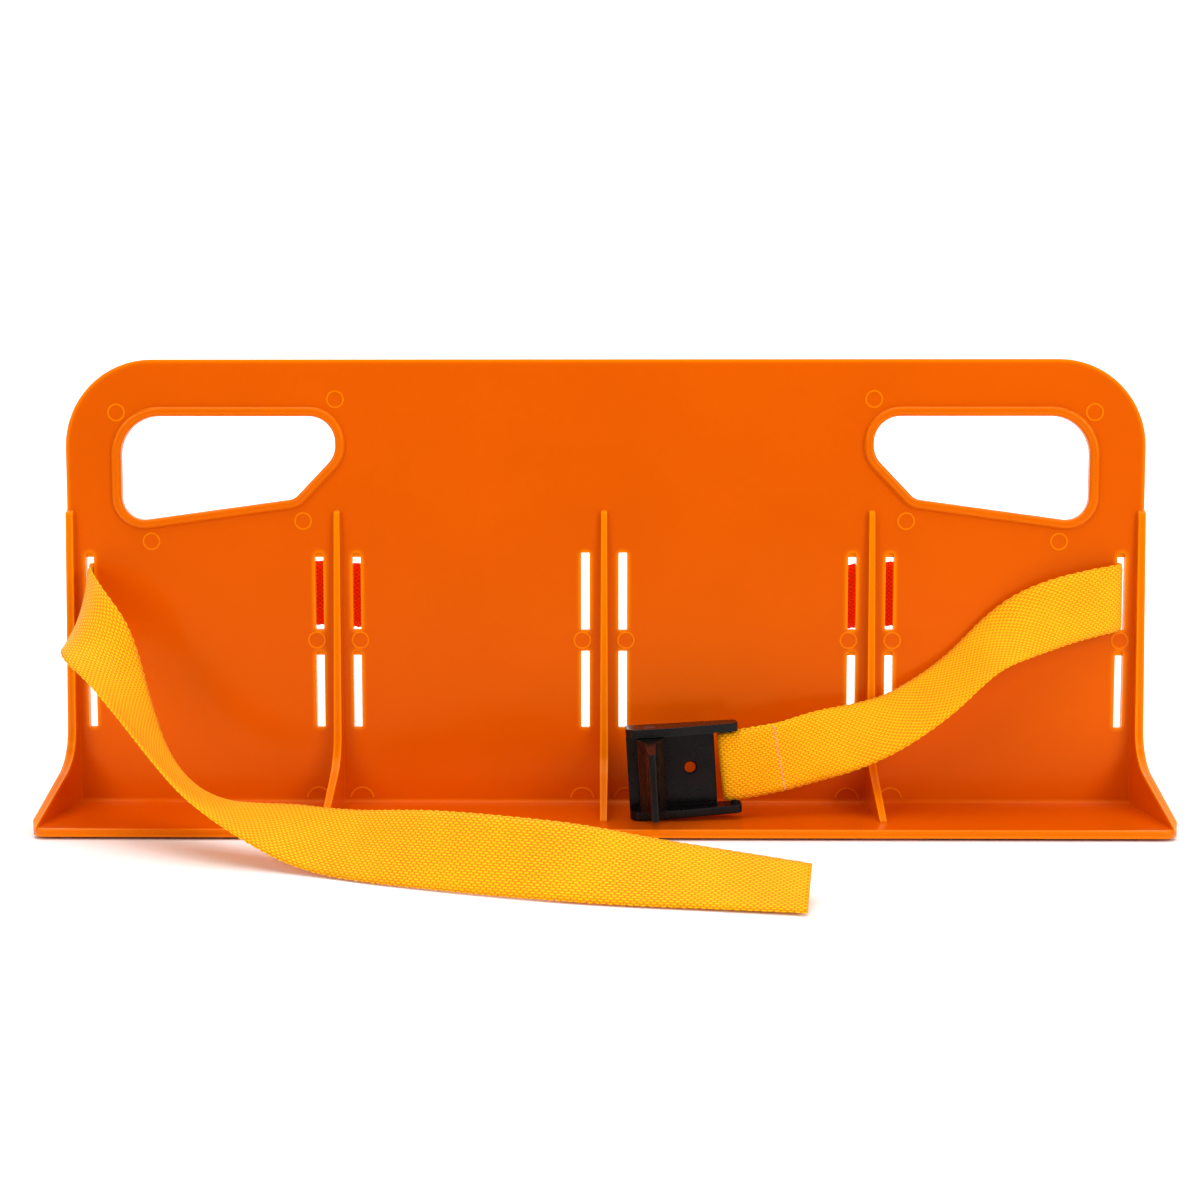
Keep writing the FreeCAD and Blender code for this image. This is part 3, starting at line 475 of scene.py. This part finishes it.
def behind_wall(node, maths):
    """1 on the webbing's face towards the wall's back, where light through the plastic is painted
    on.
    """
    normal = node("ShaderNodeSeparateXYZ", {0: node("ShaderNodeNewGeometry").outputs["Normal"]})
    place = node("ShaderNodeSeparateXYZ", {0: object_place(node)})
    faces_wall = maths("LESS_THAN", normal.outputs[1], BEHIND_FACING)
    past_wall = maths("GREATER_THAN", place.outputs[1], WALL_FRONT + WALL + BEHIND_GAP)
    return maths("MULTIPLY", faces_wall, past_wall)


def webbing_material():
    """A woven strap: rows of long warp floats laid like bricks, with painted shade, darker and more
    orange, in the gaps between them; its face towards the wall's back has painted light.
    """
    made, node, maths, feed = material("yellow_webbing")
    uv = node("ShaderNodeUVMap", uv_map="weave").outputs[0]
    split = node("ShaderNodeSeparateXYZ", {0: uv})
    along, across = split.outputs[0], split.outputs[1]
    dome = weave(maths, along, across)
    slanted = maths("ADD", across, maths("MULTIPLY", along, STRAND_SLANT))
    strand = maths("SINE", maths("MULTIPLY", slanted, 2 * math.pi / STRAND_PITCH))
    tuft = maths("ADD", dome, maths("MULTIPLY", strand, STRAND_HEIGHT))
    wander = maths("SUBTRACT", noise(node, uv, scale=40.0, detail=3.0), 0.5)
    # painted shade: the ramp turns the gaps between the floats darker and more orange and their
    # tops yellow
    light = maths("ADD", tuft, maths("MULTIPLY", wander, 0.3))
    shades = [(0.1, (0.9, 0.19, 0.0)), (0.45, (1.0, 0.36, 0.0)), (0.85, (1.0, 0.56, 0.0))]
    yarn_with_painted_shade = ramp(node, light, shades)
    dust = maths("MULTIPLY", noise(node, uv, scale=1500.0, detail=2.0), 0.06)
    # painted light: on the face towards the wall's back the strap is painted red and glows on its
    # floats, standing in for orange light through the plastic
    behind = behind_wall(node, maths)
    feed({
        "Base Color": mix(node, behind, mix(node, dust, yarn_with_painted_shade, (1.0, 0.8, 0.1)), (0.8, 0.03, 0.0)),
        "Roughness": maths("MULTIPLY_ADD", dome, -0.2, 0.62),
        "Sheen Weight": 0.03,
        "Sheen Roughness": 0.4,
        "Specular IOR Level": 0.3,
        "Specular Tint": (1.0, 0.75, 0.2, 1.0),
        "Emission Color": (0.62, 0.012, 0.0, 1.0),
        "Emission Strength": maths("MULTIPLY", maths("MULTIPLY", behind, dome), 0.8),
        "Normal": bump(node, tuft, strength=0.9, distance=0.0004),
    })
    return made


def thread_material():
    """A plied thread, paler and pinker than the webbing."""
    made, node, _, feed = material("stitching_thread")
    wave = {"Vector": object_place(node), "Scale": 900.0, "Distortion": 2.0}
    ply = node("ShaderNodeTexWave", wave).outputs["Fac"]
    feed({
        "Base Color": ramp(node, ply, [(0.2, (0.9, 0.34, 0.12)), (0.8, (1.0, 0.55, 0.28))]),
        "Roughness": 0.6,
        "Normal": bump(node, ply, strength=0.5, distance=0.0001),
    })
    return made


def black_plastic():
    """Dull black plastic, a little greyer at its edges."""
    made, node, maths, feed = material("black_plastic")
    place = object_place(node)
    cloud = noise(node, place, scale=120.0, detail=5.0)
    grain = noise(node, place, scale=1800.0, detail=3.0)
    tone = ramp(node, cloud, [(0.3, (0.003, 0.003, 0.003)), (0.7, (0.006, 0.005, 0.005))])
    greyer_edges = maths("MULTIPLY", edge_mask(node, maths, radius=0.0008, gain=4.0), 0.6)
    feed({
        "Base Color": mix(node, greyer_edges, tone, (0.03, 0.03, 0.032)),
        "Specular IOR Level": 0.16,
        "Roughness": maths("MULTIPLY_ADD", cloud, 0.12, 0.22),
        "Normal": bump(node, grain, strength=0.2, distance=0.0001),
    })
    return made


def pin_material():
    """Dark steel, dulled in fine grains."""
    made, node, maths, feed = material("pin_steel")
    grain = noise(node, object_place(node), scale=1500.0, detail=4.0)
    feed({
        "Base Color": ramp(node, grain, [(0.3, (0.03, 0.03, 0.032)), (0.7, (0.08, 0.08, 0.085))]),
        "Metallic": 0.6,
        "Roughness": maths("MULTIPLY_ADD", grain, 0.3, 0.25),
    })
    return made


def hook_tape():
    """Black hook tape: small round hooks, close together."""
    made, node, _, feed = material("hook_tape")
    cells = {"Vector": object_place(node), "Scale": 700.0}
    hooks = node("ShaderNodeTexVoronoi", cells).outputs["Distance"]
    feed({
        "Base Color": ramp(node, hooks, [(0.1, (0.05, 0.05, 0.05)), (0.6, (0.008, 0.008, 0.008))]),
        "Roughness": 0.85,
        "Normal": bump(node, hooks, strength=1.0, distance=0.0006, invert=True),
    })
    return made


def floor_material():
    """The photo's white backdrop."""
    made, _, _, feed = material("floor")
    feed({"Base Color": (0.97, 0.97, 0.97, 1.0), "Roughness": 0.9})
    return made


def dress(obj, made):
    """Gives an object this material and no other."""
    obj.data.materials.clear()
    obj.data.materials.append(made)


black = black_plastic()
tape = hook_tape()
dress(webbing, webbing_material())
dress(stitching, thread_material())
dress(nodes["panel"], orange_plastic())
dress(nodes["buckle_frame"], black)
dress(nodes["cam_lever"], black)
dress(nodes["cam_pin"], pin_material())
for bay in range(PAD_COUNT):
    dress(nodes[f"hook_pad_{bay + 1}"], tape)

# ---- floor and light -----------------------------------------------------------------------------
FLOOR_FRONT = -4.0
FLOOR_BACK = 1.6  # where the floor starts to curve up
FLOOR_HALF_WIDTH = 6.0
SWEEP_RADIUS = 1.2
SWEEP_STEPS = 16
BACKDROP_TOP = 4.5
WORLD_STRENGTH = 0.24
LIGHTS = [  # name, place, what it points at, width and height, watts
    ("top", (0.0, -0.25, 2.2), (0.0, 0.0, 0.0), (2.6, 2.0), 40.0),
    ("right", (1.5, -1.5, 1.0), (0.0, 0.0, 0.1), (1.0, 1.0), 22.0),
    ("left", (-1.5, -1.5, 1.0), (0.0, 0.0, 0.1), (1.0, 1.0), 15.0),
    ("backdrop", (0.0, 1.2, 2.4), (0.0, 2.8, 1.0), (4.0, 0.8), 90.0),
]


def sweep():
    """A floor that curves up into a backdrop well behind the object."""
    profile = [(FLOOR_FRONT, 0.0), (FLOOR_BACK, 0.0)]
    for k in range(1, SWEEP_STEPS + 1):
        turn = math.pi / 2 * k / SWEEP_STEPS
        y = FLOOR_BACK + SWEEP_RADIUS * math.sin(turn)
        profile.append((y, SWEEP_RADIUS - SWEEP_RADIUS * math.cos(turn)))
    profile.append((FLOOR_BACK + SWEEP_RADIUS, BACKDROP_TOP))
    verts = [(x, y, z) for y, z in profile for x in (-FLOOR_HALF_WIDTH, FLOOR_HALF_WIDTH)]
    faces = [(2 * k, 2 * k + 1, 2 * k + 3, 2 * k + 2) for k in range(len(profile) - 1)]
    return add_mesh("floor", verts, faces)


floor = sweep()
dress(floor, floor_material())

world = bpy.data.worlds.new("studio")
world.use_nodes = True
background = world.node_tree.nodes["Background"]
background.inputs[0].default_value = (1.0, 1.0, 1.0, 1.0)
background.inputs[1].default_value = WORLD_STRENGTH
scene.world = world
scene.view_settings.view_transform = "Standard"

for name, place, target, size, power in LIGHTS:
    data = bpy.data.lights.new(name, "AREA")
    data.shape = "RECTANGLE"
    data.size, data.size_y = size
    data.energy = power
    lamp = bpy.data.objects.new(name, data)
    lamp.location = place
    lamp.rotation_euler = (Vector(target) - Vector(place)).to_track_quat("-Z", "Y").to_euler()
    scene.collection.objects.link(lamp)
